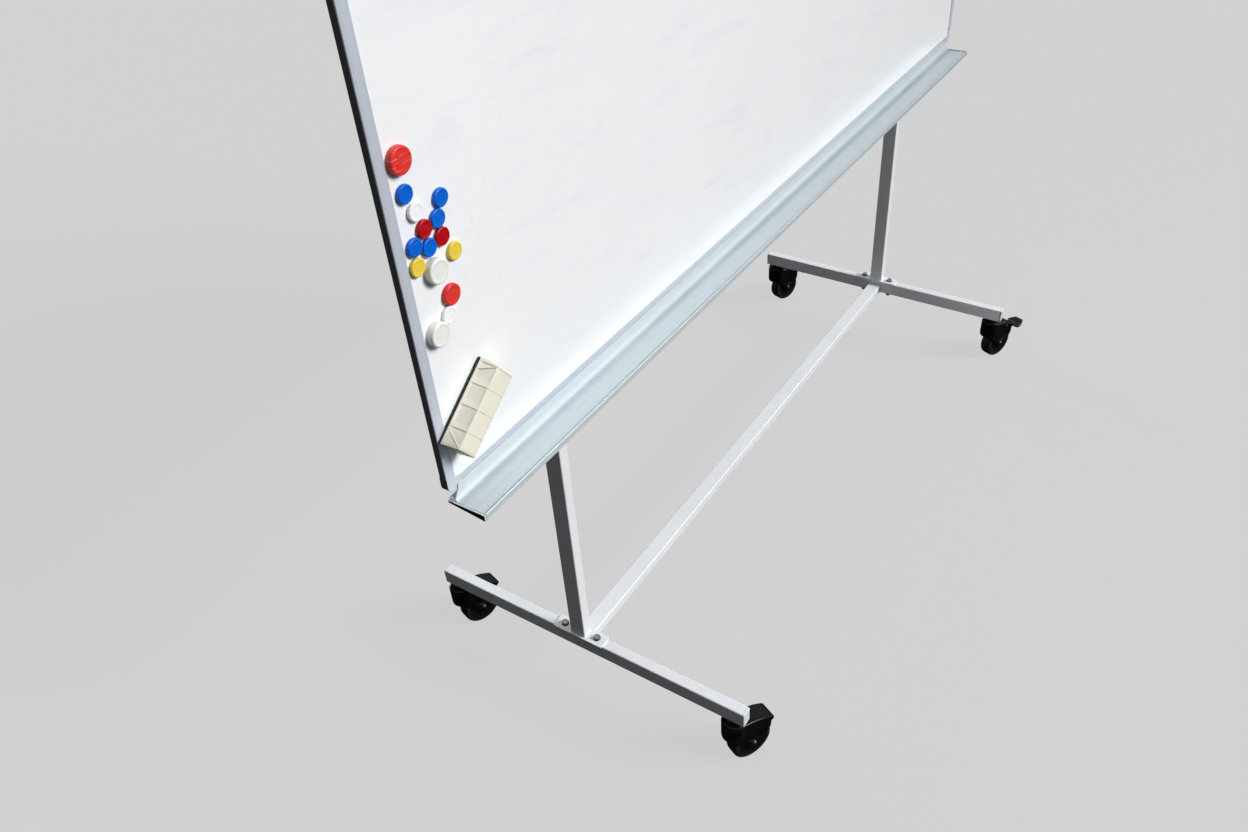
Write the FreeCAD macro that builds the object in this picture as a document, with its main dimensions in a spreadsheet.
import FreeCAD, Part
import math
import os

import Sketcher

# Rolling whiteboard: a framed steel board fixed to a two-post stand on four
# swivel casters, with a pen tray, an eraser and round magnets.
# Millimetres. X runs along the board, Y from front to back, Z up.
# The origin lies on the floor under the middle of the outer box.

os.makedirs("parts", exist_ok=True)
Vector = FreeCAD.Vector
Rotation = FreeCAD.Rotation
doc = FreeCAD.newDocument("rolling_whiteboard")

# alias, value, note
DIMENSIONS = [
    # board and frame
    ("board_width", 1800.0, "outer width over the frame"),
    ("board_height", 1200.0, "outer height over the frame"),
    ("board_bottom", 679.0, "height of the frame's lower edge"),
    ("board_front", -26.2, "frame front face, measured from the foot's middle"),
    ("frame_face", 15.7, "visible width of the frame"),
    ("frame_depth", 11.0, "depth of the frame profile"),
    ("frame_lip", 1.2, "thickness of the front and back lips"),
    ("frame_wall", 1.4, "thickness of the outer wall"),
    ("frame_back_lip", 12.0, "width of the back lip"),
    ("frame_edge", 0.8, "broken outer edge of the frame"),
    ("cap_reach", 23.0, "arm length of a corner cap"),
    ("cap_round", 9.0, "outer corner radius"),
    ("cap_proud", 0.3, "how far a corner cap stands proud"),
    ("panel_inset", 3.0, "gap between panel edge and frame edge"),
    ("sheet_thick", 0.6, "enamelled steel sheet"),
    ("core_thick", 7.5, "board core"),
    ("backing_thick", 0.5, "backing sheet"),
    # tray
    ("tray_left", -896.8, "left end of the tray extrusion"),
    ("tray_right", 871.3, "right end of the tray extrusion"),
    ("tray_cap", 3.3, "end cap thickness"),
    ("tray_reach", 53.0, "how far the tray stands in front of the frame"),
    # stand
    ("post_x", 656.8, "post and foot centre from the middle"),
    ("post_y", 7.2, "post centre behind the foot's middle"),
    ("tube_small", 20.0, "short side of the tubes"),
    ("tube_large", 30.0, "long side of the tubes"),
    ("tube_wall", 1.5, "tube wall"),
    ("tube_round", 2.2, "tube outer corner radius"),
    ("foot_bottom", 115.0, "underside of the feet"),
    ("foot_length", 625.2, "length of a foot over its end caps"),
    ("foot_cap", 4.0, "head thickness of a foot end cap"),
    ("post_top", 1860.0, "top of the posts"),
    ("plate_length", 100.0, "base plate length"),
    ("plate_width", 27.0, "base plate width"),
    ("plate_thick", 3.0, "base plate thickness"),
    ("plate_cut", 1.5, "clipped corners of the base plate"),
    ("plate_bolt", 33.0, "bolt distance from the post centre"),
    ("bar_bottom", 116.0, "underside of the crossbar"),
    # casters
    ("stem_front", -288.1, "front stem"),
    ("stem_back", 289.6, "back stem"),
    ("stem_radius", 5.0, "stem shank radius"),
    ("stem_clear", 0.06, "running clearance on shafts"),
    ("trail", 31.0, "wheel axle's distance from the stem"),
    ("wheel_radius", 37.5, "wheel radius"),
    ("wheel_half", 13.2, "half width of the wheel"),
    ("fork_half", 17.0, "half width of the fork"),
    ("slot_half", 14.2, "half width of the wheel slot"),
    ("axle_radius", 4.0, "axle radius"),
    ("heading_fl", -24.6, "front left caster heading"),
    ("heading_bl", -16.8, "back left caster heading"),
    ("heading_fr", -23.2, "front right caster heading"),
    ("heading_br", -19.2, "back right caster heading"),
    ("lever_pin_reach", 44.0, "lever pin's distance from the stem"),
    ("lever_pin_height", 83.5, "lever pin above the floor"),
    ("lever_pin_radius", 2.5, "lever pin radius"),
    # things held on the board
    ("magnet_small", 21.5, "small magnet diameter"),
    ("magnet_medium", 26.0, "medium magnet diameter"),
    ("magnet_large", 30.2, "large magnet diameter"),
    ("magnet_huge", 30.5, "largest magnet diameter"),
    ("magnet_thick_small", 5.3, "small magnet thickness"),
    ("magnet_thick_medium", 6.3, "medium magnet thickness"),
    ("magnet_thick_large", 10.5, "large magnet thickness"),
    ("magnet_thick_huge", 8.5, "largest magnet thickness"),
    ("eraser_length", 115.0, "eraser length"),
    ("eraser_width", 46.0, "eraser width"),
    ("eraser_height", 30.0, "eraser height with felt"),
    ("felt_thick", 4.0, "felt thickness"),
    ("eraser_angle", 36.5, "eraser angle to the tray"),
    # whole model
    ("y_shift", 15.5, "moves the outer box's middle to the origin"),
]


# ---------------------------------------------------------- driven numbers
class Dim:
    """A number together with the sheet expression that gives it."""

    def __init__(self, value, text):
        self.value = float(value)
        self.text = text

    def __add__(self, other):
        other = dim(other)
        return Dim(self.value + other.value, "(%s + %s)" % (self.text, other.text))

    def __sub__(self, other):
        other = dim(other)
        return Dim(self.value - other.value, "(%s - %s)" % (self.text, other.text))

    def __rsub__(self, other):
        return dim(other) - self

    def __mul__(self, other):
        other = dim(other)
        return Dim(self.value * other.value, "(%s * %s)" % (self.text, other.text))

    __rmul__ = __mul__

    def __truediv__(self, other):
        other = dim(other)
        return Dim(self.value / other.value, "(%s / %s)" % (self.text, other.text))

    def __neg__(self):
        return Dim(-self.value, "(0 - %s)" % self.text)


def dim(number):
    return number if isinstance(number, Dim) else Dim(number, "(%.6f)" % float(number))


class DrivingDimensions:
    """Holds each sheet alias as a Dim attribute."""


dims = DrivingDimensions()
sheet = doc.addObject("Spreadsheet::Sheet", "Dims")
for row, (alias, number, note) in enumerate(DIMENSIONS, start=1):
    sheet.set("A%d" % row, note)
    sheet.set("B%d" % row, str(number))
    sheet.setAlias("B%d" % row, alias)
    setattr(dims, alias, Dim(number, "Dims." + alias))
doc.recompute()


def drive(obj, prop, amount):
    """Set a property and bind it to its expression."""
    amount = dim(amount)
    setattr(obj, prop, amount.value)
    obj.setExpression(prop, amount.text)


# ------------------------------------------------------ placing and naming
ORIGIN = (0, 0, 0)
UPRIGHT = Rotation()
Z_TO_FRONT = Rotation(Vector(1, 0, 0), 90)
Z_TO_BACK = Rotation(Vector(1, 0, 0), -90)
Z_TO_RIGHT = Rotation(Vector(0, 1, 0), 90)
Z_TO_LEFT = Rotation(Vector(0, 1, 0), -90)

pieces = {}


def locate(obj, position, rotation=UPRIGHT):
    """Put an object at a bound position in its own group or document."""
    base = Vector(*[dim(amount).value for amount in position])
    obj.Placement = FreeCAD.Placement(base, rotation)
    for axis, amount in zip("xyz", position):
        obj.setExpression("Placement.Base." + axis, dim(amount).text)
    return obj


def place(obj, x=0, y=0, z=0, rotation=UPRIGHT):
    """Put a whole piece in the model; y is measured from the foot's middle."""
    locate(obj, (x, dim(y) + dims.y_shift, z), rotation)


def piece(obj, label):
    obj.Label = label
    pieces[label] = obj
    return obj


def new_body(label):
    return piece(doc.addObject("PartDesign::Body", label), label)


def group(label, items):
    compound = doc.addObject("Part::Compound", label)
    compound.Links = items
    place(compound)
    piece(compound, label)


# ---------------------------------------------------------------- sketches
def rectangle(x_min, y_min, x_max, y_max):
    return [(x_min, y_min), (x_max, y_min), (x_max, y_max), (x_min, y_max)]


def mirrored(points, x_sign, y_sign=1):
    return [(dim(x) * x_sign, dim(y) * y_sign) for x, y in points]


def constrain(sketch, label, kind, elements, amount):
    """Add a dimension, bound to the sheet if it depends on it."""
    index = sketch.addConstraint(Sketcher.Constraint(kind, *elements, amount.value))
    if "Dims." in amount.text:
        sketch.renameConstraint(index, label)
        sketch.setExpression("Constraints." + label, amount.text)


def fix_point(sketch, geometry, vertex, x, y):
    elements = (-1, 1, geometry, vertex)
    constrain(sketch, "p%dx" % geometry, "DistanceX", elements, x)
    constrain(sketch, "p%dy" % geometry, "DistanceY", elements, y)


def add_loop(sketch, points):
    """Closed straight-sided loop with every corner fixed."""
    first = sketch.GeometryCount
    points = [(dim(x), dim(y)) for x, y in points]
    count = len(points)
    corners = [Vector(x.value, y.value, 0) for x, y in points]
    for i in range(count):
        sketch.addGeometry(Part.LineSegment(corners[i], corners[(i + 1) % count]))
    for i in range(count):
        following = first + (i + 1) % count
        sketch.addConstraint(Sketcher.Constraint("Coincident", first + i, 2, following, 1))
    for i, (x, y) in enumerate(points):
        fix_point(sketch, first + i, 1, x, y)


def add_circle(sketch, x, y, radius):
    x, y, radius = dim(x), dim(y), dim(radius)
    circle = Part.Circle(Vector(x.value, y.value, 0), Vector(0, 0, 1), radius.value)
    geometry = sketch.addGeometry(circle)
    fix_point(sketch, geometry, 3, x, y)
    constrain(sketch, "radius%d" % geometry, "Radius", (geometry,), radius)


def sketch_on(body, plane, name, loops=(), circles=(), offset=None):
    """Sketch on an origin plane; circles are (x, y, radius)."""
    role = plane + "_Plane"
    support = next(item for item in body.Origin.OriginFeatures if item.Role == role)
    sketch = body.newObject("Sketcher::SketchObject", name)
    sketch.AttachmentSupport = (support, [""])
    sketch.MapMode = "FlatFace"
    if offset is not None:
        offset = dim(offset)
        sketch.AttachmentOffset = FreeCAD.Placement(Vector(0, 0, offset.value), Rotation())
        sketch.setExpression("AttachmentOffset.Base.z", offset.text)
    for points in loops:
        add_loop(sketch, points)
    for x, y, radius in circles:
        add_circle(sketch, x, y, radius)
    return sketch


# ----------------------------------------------------------- body features
def extrude(body, kind, name, sketch, length, one_side, reverse=False):
    feature = body.newObject("PartDesign::" + kind, name)
    feature.Profile = sketch
    drive(feature, "Length", length)
    feature.SideType = "One side" if one_side else "Symmetric"
    feature.Reversed = reverse
    sketch.Visibility = False


def pad(body, plane, sketch_name, length, one_side=False, name="Pad", **profile):
    sketch = sketch_on(body, plane, sketch_name, **profile)
    extrude(body, "Pad", name, sketch, length, one_side)


def pocket(body, plane, name, length, one_side=False, reverse=False, **profile):
    """Cut a sketched profile; one-sided cuts run against the plane's normal."""
    sketch = sketch_on(body, plane, name, **profile)
    doc.recompute()
    before = body.Shape.Volume
    extrude(body, "Pocket", name + "Cut", sketch, length, one_side, reverse)
    doc.recompute()
    if not body.Shape.Volume < before - 1e-3:
        raise RuntimeError("%s: %sCut cuts nothing" % (body.Label, name))


def revolve(body, half_profile):
    """Turn a profile about local y; its (y, z) points run inward from the +y end."""
    section = mirrored(half_profile, -1) + half_profile[::-1]
    sketch = sketch_on(body, "YZ", "Section", loops=[section])
    feature = body.newObject("PartDesign::Revolution", "Revolution")
    feature.Profile = sketch
    feature.ReferenceAxis = (sketch, ["H_Axis"])
    feature.Angle = 360.0
    sketch.Visibility = False


def dress(body, size, wanted, name, kind="Fillet"):
    """Fillet or chamfer the tip's edges for which wanted(edge) holds."""
    doc.recompute()
    tip = body.Tip
    names = ["Edge%d" % i for i, edge in enumerate(tip.Shape.Edges, start=1) if wanted(edge)]
    if not names:
        raise RuntimeError("%s: no edge for %s" % (body.Label, name))
    feature = body.newObject("PartDesign::" + kind, name)
    feature.Base = (tip, names)
    drive(feature, "Radius" if kind == "Fillet" else "Size", size)
    doc.recompute()


def is_along(edge, axis):
    """True for a straight edge parallel to the axis (0, 1 or 2)."""
    if edge.Curve.TypeId != "Part::GeomLine":
        return False
    span = edge.Vertexes[-1].Point - edge.Vertexes[0].Point
    return abs((span.x, span.y, span.z)[axis]) > 0.999 * span.Length


# -------------------------------------------------------- primitive solids
def primitive(kind, name, position, rotation, **sizes):
    solid = doc.addObject("Part::" + kind, name)
    for prop, amount in sizes.items():
        drive(solid, prop, amount)
    return locate(solid, position, rotation)


def box(name, sizes, corner=ORIGIN):
    length, width, height = sizes
    return primitive("Box", name, corner, UPRIGHT, Length=length, Width=width, Height=height)


def cylinder(name, radius, height, base=ORIGIN, rotation=UPRIGHT):
    return primitive("Cylinder", name, base, rotation, Radius=radius, Height=height)


def hexagon(name, across_flats, height, base, rotation=UPRIGHT):
    circumradius = dim(across_flats) / math.sqrt(3)
    solid = primitive("Prism", name, base, rotation, Circumradius=circumradius, Height=height)
    solid.Polygon = 6
    return solid


def fuse(name, *items):
    fusion = doc.addObject("Part::MultiFuse", name)
    fusion.Shapes = list(items)
    return fusion


def cut(name, base, tool):
    difference = doc.addObject("Part::Cut", name)
    difference.Base = base
    difference.Tool = tool
    return difference


def round_edges(name, base, radius_of):
    """Fillet each edge by radius_of(edge); None leaves it sharp."""
    doc.recompute()
    rounded = doc.addObject("Part::Fillet", name)
    rounded.Base = base
    radii = [(i, radius_of(edge)) for i, edge in enumerate(base.Shape.Edges, start=1)]
    rounded.Edges = [(i, radius, radius) for i, radius in radii if radius is not None]
    return rounded


# --------------------------------------------------------- panel and frame
front = dims.board_front
bottom = dims.board_bottom
width = dims.board_width
height = dims.board_height
depth = dims.frame_depth
lip = dims.frame_lip
face = dims.frame_face

CAP_EDGE_ROUND = 0.8
CAP_EDGE_BAND = 4.6  # rounded front edges have their middle this close to an outer side


def build_panel():
    """Three sheets, stacked from the front lip backwards."""
    inset = dims.panel_inset
    start = lip
    for label, thick in (("writing_surface", dims.sheet_thick),
                         ("board_core", dims.core_thick),
                         ("backing_sheet", dims.backing_thick)):
        layer = box(label, (width - 2 * inset, thick, height - 2 * inset))
        place(layer, inset - width / 2, front + start, bottom + inset)
        piece(layer, label)
        start = start + thick


def frame_section(sign):
    """Channel outline: (distance into the board, distance behind the front)."""
    edge, wall, back_lip = dims.frame_edge, dims.frame_wall, dims.frame_back_lip
    return mirrored([
        (edge, 0), (face - edge / 2, 0), (face, edge / 2), (face, lip), (wall, lip),
        (wall, depth - lip), (back_lip, depth - lip), (back_lip, depth), (edge, depth),
        (0, depth - edge), (0, edge),
    ], sign)


def build_level_rail(label, sign, level):
    body = new_body(label)
    section = [(behind, into) for into, behind in frame_section(sign)]
    pad(body, "YZ", "Section", width - 2 * dims.cap_reach, loops=[section])
    place(body, 0, front, level)


def build_upright_rail(label, sign):
    body = new_body(label)
    pad(body, "XY", "Section", height - 2 * dims.cap_reach, loops=[frame_section(sign)])
    place(body, -sign * width / 2, front, bottom + height / 2)


def is_cap_corner(edge):
    point = edge.Vertexes[0].Point
    return is_along(edge, 1) and math.hypot(point.x, point.z) < 0.01


def is_cap_front_edge(edge):
    bounds, middle = edge.BoundBox, edge.CenterOfMass
    on_front = bounds.YLength < 0.01 and bounds.YMin < -depth.value / 2
    return on_front and min(abs(middle.x), abs(middle.z)) < CAP_EDGE_BAND


def build_corner_cap(label, x_sign, z_sign):
    """L-shaped cap with its outer corner on the body's origin."""
    body = new_body(label)
    reach, inset = dims.cap_reach, dims.panel_inset
    outline = [(0, 0), (reach, 0), (reach, face), (face, face), (face, reach), (0, reach)]
    pad(body, "XZ", "Outline", depth + 2 * dims.cap_proud,
        loops=[mirrored(outline, x_sign, z_sign)])
    slot = rectangle(inset, inset, reach + 1, reach + 1)
    pocket(body, "XZ", "PanelSlot", depth - 2 * lip, loops=[mirrored(slot, x_sign, z_sign)])
    dress(body, dims.cap_round, is_cap_corner, "CornerRound")
    dress(body, CAP_EDGE_ROUND, is_cap_front_edge, "EdgeRound")
    level = bottom + height if z_sign < 0 else bottom
    place(body, -x_sign * width / 2, front + depth / 2, level)


build_panel()
build_level_rail("frame_rail_bottom", 1, bottom)
build_level_rail("frame_rail_top", -1, bottom + height)
build_upright_rail("frame_rail_left", 1)
build_upright_rail("frame_rail_right", -1)
build_corner_cap("corner_cap_bottom_left", 1, 1)
build_corner_cap("corner_cap_bottom_right", -1, 1)
build_corner_cap("corner_cap_top_left", 1, -1)
build_corner_cap("corner_cap_top_right", -1, -1)

# ---------------------------------------------------------------- pen tray
tray_front = -dims.tray_reach
tray_mid = (dims.tray_left + dims.tray_right) / 2
tray_half = (dims.tray_right - dims.tray_left) / 2

# (y behind the frame front, z above the frame's lower edge)
TRAY_SECTION = [
    (tray_front, -21.3), (tray_front, -12.5), (tray_front + 0.6, -11.9),
    (tray_front + 1.7, -11.9), (tray_front + 2.9, -13.9),
    (-20, -14.3), (-16.6, -14.1), (-13.4, -13.6), (-10.6, -12.7), (-8.2, -11.4), (-6.2, -9.6),
    (-4.6, -7.3), (-3.4, -4.6), (-2.6, -1.4), (-2.1, 2.0), (-1.8, 4.8), (-1.5, 6.2),
    (-0.35, 6.2), (-0.35, 0.6), (-0.6, -2.2), (-1.7, -5.6), (-3.0, -8.0), (-4.0, -9.3),
    (13, -9.3), (13, -20), (11.4, -20), (11.4, -10.9), (-5.6, -10.9), (-8.8, -13.9),
    (-12.0, -15.2), (-15.8, -15.7), (-20, -15.9), (tray_front + 3.0, -15.5),
    (tray_front + 1.6, -16.5), (tray_front + 1.6, -21.3),
]
TRAY_CAP_SECTION = [
    (tray_front - 0.3, -21.7), (tray_front - 0.3, -11.7), (5.0, -11.7), (5.0, -15.7),
    (tray_front + 6, -20.8),
]
# (x from the tray's middle, z): slope and small notch at a tray end
FLANGE_NOTCH = [
    (tray_half + 1.0, -9.0), (tray_half - 1.2, -9.0), (tray_half - 9.0, -1.6),
    (tray_half - 10.8, -0.8), (tray_half - 12.6, 6.6), (tray_half - 12.6, 7.5),
    (tray_half + 1.0, 7.5),
]
# (x, y): end of the back wing
WING_END = rectangle(tray_half - 48.0, 5.0, tray_half + 1.0, 14.0)
WING_MID_Z = -10.1
WING_HOLE_RADIUS = 1.7
TRAY_CAP_BEVEL = 0.6

CLIP_X = [-780.0, -260.0, 260.0, 780.0]
CLIP_SIZE = (30, 11, 9.25)
CLIP_BACK = 1.0  # clip front behind the frame front
CLIP_DROP = 9.275  # clip underside below the frame's lower edge
CLIP_SCREW_BACK = 7.0
CLIP_SCREW_RADIUS = 1.6
CLIP_SCREW_LENGTH = 9
CLIP_HEAD_RADIUS = 3.6
CLIP_HEAD_HEIGHT = 2.2


def build_pen_tray():
    body = new_body("pen_tray")
    pad(body, "YZ", "Section", 2 * tray_half, loops=[TRAY_SECTION])
    # the back wall slopes down at each end, and the wing stops short
    pocket(body, "XZ", "FlangeNotches", 10,
           loops=[mirrored(FLANGE_NOTCH, side) for side in (-1, 1)])
    pocket(body, "XY", "WingEnds", 14, offset=-14,
           loops=[mirrored(WING_END, side) for side in (-1, 1)])
    pocket(body, "XY", "ScrewHoles", 3.0, offset=WING_MID_Z,
           circles=[(x - tray_mid, CLIP_SCREW_BACK, WING_HOLE_RADIUS) for x in CLIP_X])
    place(body, tray_mid, front, bottom)


def build_tray_end_cap(label, side, end):
    def is_outer_top_edge(edge):
        middle = edge.CenterOfMass
        level = edge.BoundBox.XLength < 0.01 and edge.BoundBox.ZLength < 0.01
        return level and middle.x * side > 0 and middle.z > -12

    body = new_body(label)
    pad(body, "YZ", "Section", dims.tray_cap, loops=[TRAY_CAP_SECTION])
    dress(body, TRAY_CAP_BEVEL, is_outer_top_edge, "TopBevel", kind="Chamfer")
    place(body, end + side * dims.tray_cap / 2, front, bottom)


def build_tray_clips():
    """Blocks under the bottom rail, each with a screw up through the wing."""
    clips, screws = [], []
    screw_y = front + CLIP_SCREW_BACK
    for i, x in enumerate(CLIP_X):
        block = box("clip_block_%d" % i, CLIP_SIZE,
                    (x - CLIP_SIZE[0] / 2, front + CLIP_BACK, bottom - CLIP_DROP))
        hole = cylinder("clip_hole_%d" % i, CLIP_SCREW_RADIUS, CLIP_SCREW_LENGTH,
                        (x, screw_y, bottom - 9.8))
        clips.append(cut("tray_clip_%d" % i, block, hole))
        head = cylinder("tray_screw_head_%d" % i, CLIP_HEAD_RADIUS, CLIP_HEAD_HEIGHT,
                        (x, screw_y, bottom - 10.9 - CLIP_HEAD_HEIGHT))
        shank = cylinder("tray_screw_shank_%d" % i, CLIP_SCREW_RADIUS, CLIP_SCREW_LENGTH,
                         (x, screw_y, bottom - 11.0))
        screws.append(fuse("tray_screw_%d" % i, head, shank))
    group("tray_clips", clips)
    group("tray_screws", screws)


build_pen_tray()
build_tray_end_cap("tray_end_cap_left", -1, dims.tray_left)
build_tray_end_cap("tray_end_cap_right", 1, dims.tray_right)
build_tray_clips()

# ------------------------------------------------------------------- stand
small = dims.tube_small
large = dims.tube_large
tube_wall = dims.tube_wall
post_x = dims.post_x
post_y = dims.post_y
bolt_reach = dims.plate_bolt
foot_bottom = dims.foot_bottom
foot_mid = foot_bottom + large / 2
foot_top = foot_bottom + large
plate_top = foot_top + dims.plate_thick
bar_mid = dims.bar_bottom + small / 2
bar_half = post_x - small / 2

TUBE_AXIS = {"YZ": 0, "XZ": 1, "XY": 2}  # sketch plane to tube direction
PLUG_SLACK = 0.05  # gap on each side between a plug and its tube
PLUG_DEPTH = 12
PLUG_TOP_ROUND = 2.0
POST_CAP_HEAD = 3

BOLT_HOLE_RADIUS = 3.1
BAR_HOLE_RADIUS = 3.0
KEY_HOLE_RADIUS = 3.2

BOLT_RADIUS = 3.0
BOLT_LENGTH = 44.0
BOLT_HEAD_HEIGHT = 4.2
HEX_ACROSS = 10.0  # bolt heads and nuts
NUT_HEIGHT = 5.0
WASHER_RADIUS = 6.6
WASHER_BORE_RADIUS = 3.05
WASHER_BORE_LENGTH = 3.0
WASHER_THICK = 1.6

INSERT_LENGTH = 16
BAR_SCREW_RADIUS = 3.0
BAR_SCREW_LENGTH = 19.0
BAR_HEAD_RADIUS = 5.2
BAR_HEAD_HEIGHT = 4.5
BAR_SOCKET_ACROSS = 4.0
BAR_SOCKET_DEPTH = 3.0


def new_tube(label, plane, across, along, length, one_side=False):
    """Rectangular tube with rounded outer corners, square to the plane."""
    axis = TUBE_AXIS[plane]

    def is_outer_corner(edge):
        if not is_along(edge, axis):
            return False
        middle = edge.CenterOfMass
        pair = [middle.x, middle.y, middle.z]
        pair.pop(axis)
        return (abs(abs(pair[0]) - across.value / 2) < 0.01
                and abs(abs(pair[1]) - along.value / 2) < 0.01)

    body = new_body(label)
    outer = rectangle(-across / 2, -along / 2, across / 2, along / 2)
    inner = rectangle(tube_wall - across / 2, tube_wall - along / 2,
                      across / 2 - tube_wall, along / 2 - tube_wall)
    pad(body, plane, "Section", length, one_side=one_side, loops=[outer, inner])
    dress(body, dims.tube_round, is_outer_corner, "CornerRound")
    return body


def build_post(label, side):
    body = new_tube(label, "XY", small, large, dims.post_top - plate_top, one_side=True)
    place(body, side * post_x, post_y, plate_top)


def build_foot(label, side):
    body = new_tube(label, "XZ", small, large, dims.foot_length - 2 * dims.foot_cap)
    pocket(body, "XY", "BoltHoles", 40,
           circles=[(0, post_y - bolt_reach, BOLT_HOLE_RADIUS),
                    (0, post_y + bolt_reach, BOLT_HOLE_RADIUS)])
    # stems enter through the lower wall only
    pocket(body, "XY", "StemHoles", 20, one_side=True,
           circles=[(0, dims.stem_front, dims.stem_radius), (0, dims.stem_back, dims.stem_radius)])
    # screw through the inner wall, key access through the outer wall
    level = bar_mid - foot_mid
    pocket(body, "YZ", "BarScrewHole", 15, one_side=True, reverse=(side < 0),
           circles=[(post_y, level, BAR_HOLE_RADIUS)])
    pocket(body, "YZ", "KeyHole", 15, one_side=True, reverse=(side > 0),
           circles=[(post_y, level, KEY_HOLE_RADIUS)])
    place(body, side * post_x, 0, foot_mid)


def tube_plug(name, head_height):
    """Plug for a tube end, standing on z = 0 with its head upwards."""
    head_height = dim(head_height)

    def head_radius(edge):
        if is_along(edge, 2):
            return dims.tube_round.value
        if abs(edge.CenterOfMass.z - head_height.value) < 0.01:
            return PLUG_TOP_ROUND
        return None

    inset = tube_wall + PLUG_SLACK
    head = box(name + "_head", (small, large, head_height), (-small / 2, -large / 2, 0))
    body = box(name + "_body", (small - 2 * inset, large - 2 * inset, PLUG_DEPTH),
               (inset - small / 2, inset - large / 2, -PLUG_DEPTH))
    return fuse(name, round_edges(name + "_round", head, head_radius), body)


def build_tube_caps():
    caps = []
    for i, (side, end) in enumerate(((-1, -1), (-1, 1), (1, -1), (1, 1))):
        cap = tube_plug("foot_end_cap_%d" % i, dims.foot_cap)
        end_y = end * (dims.foot_length / 2 - dims.foot_cap)
        locate(cap, (side * post_x, end_y, foot_mid), Z_TO_FRONT if end < 0 else Z_TO_BACK)
        caps.append(cap)
    group("foot_end_caps", caps)

    caps = []
    for i, side in enumerate((-1, 1)):
        cap = tube_plug("post_top_cap_%d" % i, POST_CAP_HEAD)
        caps.append(locate(cap, (side * post_x, post_y, dims.post_top)))
    group("post_top_caps", caps)


def build_base_plate(label, side):
    body = new_body(label)
    half_x, half_y, clip = dims.plate_width / 2, dims.plate_length / 2, dims.plate_cut
    outline = [
        (clip - half_x, -half_y), (half_x - clip, -half_y), (half_x, clip - half_y),
        (half_x, half_y - clip), (half_x - clip, half_y), (clip - half_x, half_y),
        (-half_x, half_y - clip), (-half_x, clip - half_y),
    ]
    pad(body, "XY", "Outline", dims.plate_thick, one_side=True, loops=[outline],
        circles=[(0, -bolt_reach, BOLT_HOLE_RADIUS), (0, bolt_reach, BOLT_HOLE_RADIUS)])
    place(body, side * post_x, post_y, foot_top)


def build_base_bolts():
    """Bolts down through plate and foot, a washer at both ends, nuts below."""
    bolts, washers, nuts = [], [], []
    for i, (side, end) in enumerate(((-1, -1), (-1, 1), (1, -1), (1, 1))):
        x, y = side * post_x, post_y + end * bolt_reach
        head = hexagon("bolt_head_%d" % i, HEX_ACROSS, BOLT_HEAD_HEIGHT,
                       (x, y, plate_top + WASHER_THICK))
        shank = cylinder("bolt_shank_%d" % i, BOLT_RADIUS, BOLT_LENGTH,
                         (x, y, plate_top + 2.0 - BOLT_LENGTH))
        bolts.append(fuse("base_bolt_%d" % i, head, shank))
        for level, z in (("top", plate_top), ("low", foot_bottom - WASHER_THICK)):
            disc = cylinder("washer_%s_disc_%d" % (level, i), WASHER_RADIUS, WASHER_THICK,
                            (x, y, z))
            bore = cylinder("washer_%s_bore_%d" % (level, i), WASHER_BORE_RADIUS,
                            WASHER_BORE_LENGTH,
                            (x, y, z - (WASHER_BORE_LENGTH - WASHER_THICK) / 2))
            washers.append(cut("washer_%s_%d" % (level, i), disc, bore))
        nut_z = foot_bottom - WASHER_THICK - NUT_HEIGHT
        blank = hexagon("nut_hex_%d" % i, HEX_ACROSS, NUT_HEIGHT, (x, y, nut_z))
        bore = cylinder("nut_bore_%d" % i, BOLT_RADIUS, NUT_HEIGHT + 2, (x, y, nut_z - 1))
        nuts.append(cut("base_nut_%d" % i, blank, bore))
    group("base_bolts", bolts)
    group("base_washers", washers)
    group("base_nuts", nuts)


def build_crossbar():
    body = new_tube("crossbar", "YZ", large, small, 2 * bar_half)
    place(body, 0, post_y, bar_mid)


def build_crossbar_fixings():
    """A bored insert in each bar end, and a socket screw from inside each foot."""
    inserts, screws = [], []
    inset = tube_wall + PLUG_SLACK
    for i, side in enumerate((-1, 1)):
        insert_x = side * (bar_half - INSERT_LENGTH / 2)
        block = box("insert_block_%d" % i,
                    (INSERT_LENGTH, large - 2 * inset, small - 2 * inset),
                    (insert_x - INSERT_LENGTH / 2, post_y - large / 2 + inset,
                     bar_mid - small / 2 + inset))
        bore = cylinder("insert_bore_%d" % i, BAR_SCREW_RADIUS, INSERT_LENGTH + 4,
                        (insert_x - INSERT_LENGTH / 2 - 2, post_y, bar_mid), Z_TO_RIGHT)
        inserts.append(cut("crossbar_insert_%d" % i, block, bore))

        inward = Z_TO_LEFT if side > 0 else Z_TO_RIGHT
        seat = bar_half + tube_wall
        head = cylinder("bar_screw_head_%d" % i, BAR_HEAD_RADIUS, BAR_HEAD_HEIGHT,
                        (side * (seat + BAR_HEAD_HEIGHT), post_y, bar_mid), inward)
        shank = cylinder("bar_screw_shank_%d" % i, BAR_SCREW_RADIUS, BAR_SCREW_LENGTH,
                         (side * (seat + 2.0), post_y, bar_mid), inward)
        socket = hexagon("bar_screw_socket_%d" % i, BAR_SOCKET_ACROSS, BAR_SOCKET_DEPTH,
                         (side * (seat + BAR_HEAD_HEIGHT + 0.1), post_y, bar_mid), inward)
        screw = fuse("bar_screw_body_%d" % i, head, shank)
        screws.append(cut("crossbar_screw_%d" % i, screw, socket))
    group("crossbar_inserts", inserts)
    group("crossbar_screws", screws)


for side_name, side in (("left", -1), ("right", 1)):
    build_post("post_" + side_name, side)
    build_foot("foot_" + side_name, side)
    build_base_plate("base_plate_" + side_name, side)
build_tube_caps()
build_base_bolts()
build_crossbar()
build_crossbar_fixings()

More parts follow.
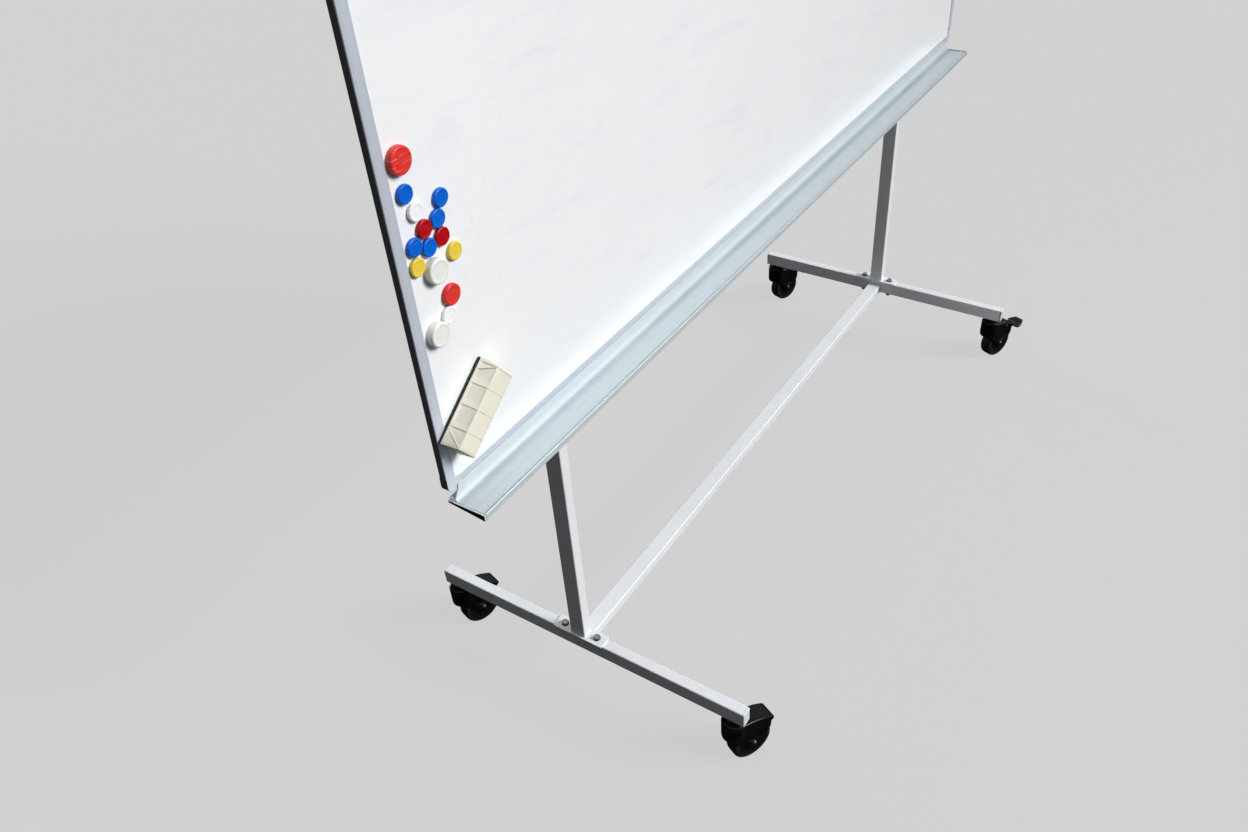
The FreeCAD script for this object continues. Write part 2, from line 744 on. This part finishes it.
# ---------------------------------------------------------- board brackets
BRACKET_WIDTH = 34
BRACKET_THICK = 3
BRACKET_HEIGHT = 62
BRACKET_MARGIN = 2  # plate end to the frame's outer edge
BOSS_WIDTH = 16
BOSS_HEIGHT = 42
BRACKET_SCREW_X = (-11, 11)
BRACKET_SCREW_EDGE = 7.5  # screws from the frame's outer edge
BRACKET_SCREW_RADIUS = 2.0
BRACKET_HEAD_RADIUS = 3.8
BRACKET_HEAD_HEIGHT = 2.4


def build_brackets():
    """Plates on the frame's back, with bosses reaching back to the posts."""
    gap_start = front + depth
    seat = gap_start + BRACKET_THICK
    boss_depth = post_y - large / 2 - gap_start - BRACKET_THICK
    board_top = bottom + height
    # plate underside, boss underside, screw height
    levels = (
        (bottom + BRACKET_MARGIN, bottom + 14, bottom + BRACKET_SCREW_EDGE),
        (board_top - BRACKET_MARGIN - BRACKET_HEIGHT, board_top - 62,
         board_top - BRACKET_SCREW_EDGE),
    )
    brackets, screws = [], []
    for side in (-1, 1):
        for plate_z, boss_z, screw_z in levels:
            i = len(brackets)
            plate = box("bracket_plate_%d" % i, (BRACKET_WIDTH, BRACKET_THICK, BRACKET_HEIGHT),
                        (side * post_x - BRACKET_WIDTH / 2, gap_start, plate_z))
            boss = box("bracket_boss_%d" % i, (BOSS_WIDTH, boss_depth, BOSS_HEIGHT),
                       (side * post_x - BOSS_WIDTH / 2, seat, boss_z))
            body = fuse("bracket_body_%d" % i, plate, boss)
            bores = []
            for j, offset in enumerate(BRACKET_SCREW_X):
                x = side * post_x + offset
                tag = "%d_%d" % (i, j)
                bores.append(cylinder("bracket_bore_" + tag, BRACKET_SCREW_RADIUS,
                                      2 * BRACKET_THICK, (x, seat + 1.5, screw_z), Z_TO_FRONT))
                head = cylinder("bracket_screw_head_" + tag, BRACKET_HEAD_RADIUS,
                                BRACKET_HEAD_HEIGHT, (x, seat + BRACKET_HEAD_HEIGHT, screw_z),
                                Z_TO_FRONT)
                shank = cylinder("bracket_screw_shank_" + tag, BRACKET_SCREW_RADIUS, 9.5,
                                 (x, seat + 0.5, screw_z), Z_TO_FRONT)
                screws.append(fuse("bracket_screw_" + tag, head, shank))
            brackets.append(cut("board_bracket_%d" % i, body,
                                fuse("bracket_bores_%d" % i, *bores)))
    group("board_brackets", brackets)
    group("bracket_screws", screws)


build_brackets()

# ----------------------------------------------------------------- casters
# In a caster's own frame x runs from the stem towards the wheel axle.
trail = dims.trail
wheel_radius = dims.wheel_radius
wheel_half = dims.wheel_half
fork_half = dims.fork_half
axle_radius = dims.axle_radius
pin_reach = dims.lever_pin_reach
pin_height = dims.lever_pin_height
pin_radius = dims.lever_pin_radius
rim_radius = wheel_radius - 8

# name, side, stem y, heading, has a brake lever
CASTERS = [
    ("front_left", -1, dims.stem_front, dims.heading_fl, False),
    ("back_left", -1, dims.stem_back, dims.heading_bl, False),
    ("front_right", 1, dims.stem_front, dims.heading_fr, True),
    ("back_right", 1, dims.stem_back, dims.heading_br, True),
]
COLLAR_RADIUS = 13.0
COLLAR_HEIGHT = 5.6
STEM_BOTTOM = 69
STEM_LENGTH = 72
NECK_RADIUS = 20.0
NECK_BOTTOM = 66
NECK_HEIGHT = 43
WHEEL_CLEARANCE = 3.5
HOOD_ROUND = 1.6
THROUGH = 60  # longer than any width across a caster

# (x from the stem, z above the floor)
FORK_SIDE = [
    (-10, 100.5), (5, 100.5), (26, 97.2), (46, 91.2), (60, 84.4), (72.5, 75.8), (70.5, 72.6),
    (66.5, 71.4), (67.5, 64), (66, 56), (61, 47), (trail + 16, 36), (trail + 10, 29),
    (trail, 26.5), (trail - 8.5, 28.5), (trail - 14, 36), (-4, 60), (-10, 69),
]
LEVER_SIDE = [
    (38.5, 86), (42, 92), (48, 91.6), (58, 87), (68, 80), (80, 71.5), (90, 67.5), (102, 66.2),
    (116, 67.4), (116.4, 64.2), (104, 59.4), (94, 56.8), (86, 58.6), (78, 66.0), (66, 75.0),
    (61.5, 76.5), (60.4, 70.6), (57.3, 69.3), (53.6, 71.6), (51, 78.2), (44, 79.0), (39.5, 80.5),
]
# (x, y): waste outside one side of the lever's plan
LEVER_TRIM = [
    (30, 9.9), (67, 9.9), (74, 8.2), (82, 8.6), (89, 16.5), (97, 18.2), (112, 12.4),
    (116, 9.6), (125, 9.6), (125, 25), (30, 25),
]
# (y from the middle, radius): half sections of the turned parts
TYRE_PROFILE = [
    (wheel_half, rim_radius), (wheel_half, wheel_radius - 3.6),
    (wheel_half - 1.0, wheel_radius - 1.8), (wheel_half - 3.2, wheel_radius - 0.5),
    (wheel_half - 6.5, wheel_radius),
]
HUB_PROFILE = [
    (wheel_half + 0.6, axle_radius + dims.stem_clear), (wheel_half + 0.6, 8.5),
    (wheel_half - 0.4, 9.5), (wheel_half - 1.4, 12), (wheel_half - 1.4, rim_radius - 3.5),
    (wheel_half - 0.6, rim_radius - 2), (wheel_half - 0.6, rim_radius),
]
AXLE_PROFILE = [
    (fork_half + 3.6, 0), (fork_half + 3.4, 2.6), (fork_half + 2.6, 4.6),
    (fork_half + 1.2, 5.8), (fork_half, 6.0), (fork_half, axle_radius),
]
PIN_PROFILE = [(fork_half + 0.8, 0), (fork_half + 0.8, 1.6), (fork_half - 0.1, pin_radius)]


def place_on_caster(body, side, stem_y, heading, reach, z):
    """Turn a body to the heading, its origin at a reach from the stem."""
    angle = math.radians(heading.value)
    cosine = Dim(math.cos(angle), "cos(%s * 1 deg)" % heading.text)
    sine = Dim(math.sin(angle), "sin(%s * 1 deg)" % heading.text)
    place(body, side * post_x + reach * cosine, stem_y + reach * sine, z,
          Rotation(Vector(0, 0, 1), heading.value))
    body.setExpression("Placement.Rotation.Angle", "%s * 1 deg" % heading.text)


def build_stems():
    stems = []
    for i, (_, side, stem_y, _, _) in enumerate(CASTERS):
        collar = cylinder("stem_collar_%d" % i, COLLAR_RADIUS, COLLAR_HEIGHT,
                          (side * post_x, stem_y, foot_bottom - COLLAR_HEIGHT))
        shank = cylinder("stem_shank_%d" % i, dims.stem_radius, STEM_LENGTH,
                         (side * post_x, stem_y, STEM_BOTTOM))
        stems.append(fuse("caster_stem_%d" % i, collar, shank))
    group("caster_stems", stems)


def is_hood_edge(edge):
    middle = edge.CenterOfMass
    on_side = abs(abs(middle.y) - fork_half.value) < 0.01
    return on_side and middle.x > 20 and middle.z > 74


def new_fork(label, braked):
    """Round neck over the stem, hood and two legs in one moulding."""
    body = new_body(label)
    pad(body, "XZ", "SideOutline", 2 * fork_half, name="Hood", loops=[FORK_SIDE])
    pad(body, "XY", "Neck", NECK_HEIGHT, one_side=True, name="NeckPad", offset=NECK_BOTTOM,
        circles=[(0, 0, NECK_RADIUS)])
    pocket(body, "XZ", "WheelSlot", 2 * dims.slot_half,
           circles=[(trail, wheel_radius, wheel_radius + WHEEL_CLEARANCE)])
    pocket(body, "XY", "StemBore", 42, one_side=True, offset=110,
           circles=[(0, 0, dims.stem_radius + dims.stem_clear)])
    pocket(body, "XZ", "AxleBore", THROUGH, circles=[(trail, wheel_radius, axle_radius)])
    if braked:
        pocket(body, "XZ", "LeverSlot", 21.2, loops=[rectangle(35.5, 60, 90, 110)])
        pocket(body, "XZ", "PinBore", THROUGH, circles=[(pin_reach, pin_height, pin_radius)])
    dress(body, HOOD_ROUND, is_hood_edge, "HoodRound")
    return body


def new_turned(label, half_profile):
    body = new_body(label)
    revolve(body, half_profile)
    return body


def new_lever(label):
    body = new_body(label)
    pad(body, "XZ", "SideOutline", 40, name="Blank", loops=[LEVER_SIDE])
    pocket(body, "XY", "PlanTrim", 300,
           loops=[mirrored(LEVER_TRIM, 1, y_sign) for y_sign in (-1, 1)])
    pocket(body, "XZ", "PinBore", THROUGH,
           circles=[(pin_reach, pin_height, pin_radius + dims.stem_clear)])
    return body


build_stems()
for where, side, stem_y, heading, braked in CASTERS:
    # body, distance of its origin from the stem, height of its origin
    parts = [
        (new_fork("caster_fork_" + where, braked), 0, 0),
        (new_turned("caster_tyre_" + where, TYRE_PROFILE), trail, wheel_radius),
        (new_turned("caster_hub_" + where, HUB_PROFILE), trail, wheel_radius),
        (new_turned("caster_axle_" + where, AXLE_PROFILE), trail, wheel_radius),
    ]
    if braked:
        parts.append((new_lever("brake_lever_" + where), 0, 0))
        pin = new_turned("brake_lever_pin_" + where, PIN_PROFILE)
        parts.append((pin, pin_reach, pin_height))
    for body, reach, z in parts:
        place_on_caster(body, side, stem_y, heading, reach, z)

# ----------------------------------------------------------------- magnets
MAGNET_FRONT_ROUND = 1.3
MAGNET_BACK_ROUND = 0.4
# label, then (x, z, size) of each magnet
MAGNETS = [
    ("magnet_red_large", [(-868.0, 1104.0, "huge")]),
    ("magnets_red", [(-852.7, 1020.3, "small"), (-829.7, 1000.8, "small"),
                     (-833.0, 929.9, "medium")]),
    ("magnets_blue", [(-869.0, 1067.4, "small"), (-821.1, 1042.6, "small"),
                      (-831.0, 1022.8, "small"), (-871.4, 1007.4, "small"),
                      (-851.2, 997.6, "small")]),
    ("magnets_white", [(-859.6, 1043.6, "small"), (-842.0, 907.6, "small"),
                       (-849.4, 969.2, "large"), (-865.6, 896.2, "large")]),
    ("magnets_yellow", [(-815.4, 976.1, "small"), (-873.0, 984.5, "small")]),
]


def magnet_edge_radius(edge):
    if edge.Curve.TypeId != "Part::GeomCircle":
        return None
    return MAGNET_FRONT_ROUND if edge.CenterOfMass.z > 1 else MAGNET_BACK_ROUND


def magnet(name, x, z, size):
    diameter = getattr(dims, "magnet_" + size)
    thick = getattr(dims, "magnet_thick_" + size)
    disc = cylinder(name + "_disc", diameter / 2, thick)
    rounded = round_edges(name, disc, magnet_edge_radius)
    return locate(rounded, (x, front + lip, z), Z_TO_FRONT)


for label, items in MAGNETS:
    group(label, [magnet("%s_%d" % (label, i), *item) for i, item in enumerate(items)])

# ------------------------------------------------------------------ eraser
# The eraser's local z points out of the board, its felt at z = 0.
ERASER_POSITION = (-840.4, front - 0.15, 777.6)
ERASER_ROTATION = Z_TO_FRONT.multiply(Rotation(Vector(0, 0, 1), dims.eraser_angle.value))
FELT_INSET = 1.0
half_length = dims.eraser_length / 2
half_width = dims.eraser_width / 2
eraser_top = dims.eraser_height
felt = dims.felt_thick


def build_eraser_felt():
    body = new_body("eraser_felt")
    outline = rectangle(FELT_INSET - half_length, FELT_INSET - half_width,
                        half_length - FELT_INSET, half_width - FELT_INSET)
    pad(body, "XY", "Outline", felt, one_side=True, loops=[outline])
    place(body, *ERASER_POSITION, rotation=ERASER_ROTATION)


def build_eraser_body():
    body = new_body("eraser_body")
    section = [
        (-half_width, felt), (half_width, felt), (half_width - 5.2, eraser_top - 1.2),
        (half_width - 6.5, eraser_top), (6.5 - half_width, eraser_top),
        (5.2 - half_width, eraser_top - 1.2),
    ]
    pad(body, "YZ", "Section", dims.eraser_length, loops=[section])
    end_slope = [
        (half_length, felt), (half_length - 2.2, eraser_top - 1.2),
        (half_length - 3.5, eraser_top + 0.5), (half_length + 5, eraser_top + 0.5),
        (half_length + 5, felt),
    ]
    pocket(body, "XZ", "EndSlopes", 60, loops=[mirrored(end_slope, end) for end in (-1, 1)])
    place(body, *ERASER_POSITION, rotation=ERASER_ROTATION)


build_eraser_felt()
build_eraser_body()

# ------------------------------------------------------------------ export
doc.recompute()
for obj in doc.Objects:
    if "Invalid" in obj.State or "Error" in obj.State:
        raise RuntimeError("%s (%s) failed: %s" % (obj.Name, obj.Label, obj.State))
for label, obj in pieces.items():
    shape = obj.Shape
    if shape.isNull() or not shape.isValid() or not shape.Solids:
        raise RuntimeError("%s has no valid solid" % label)
    shape.exportStep("parts/%s.step" % label)
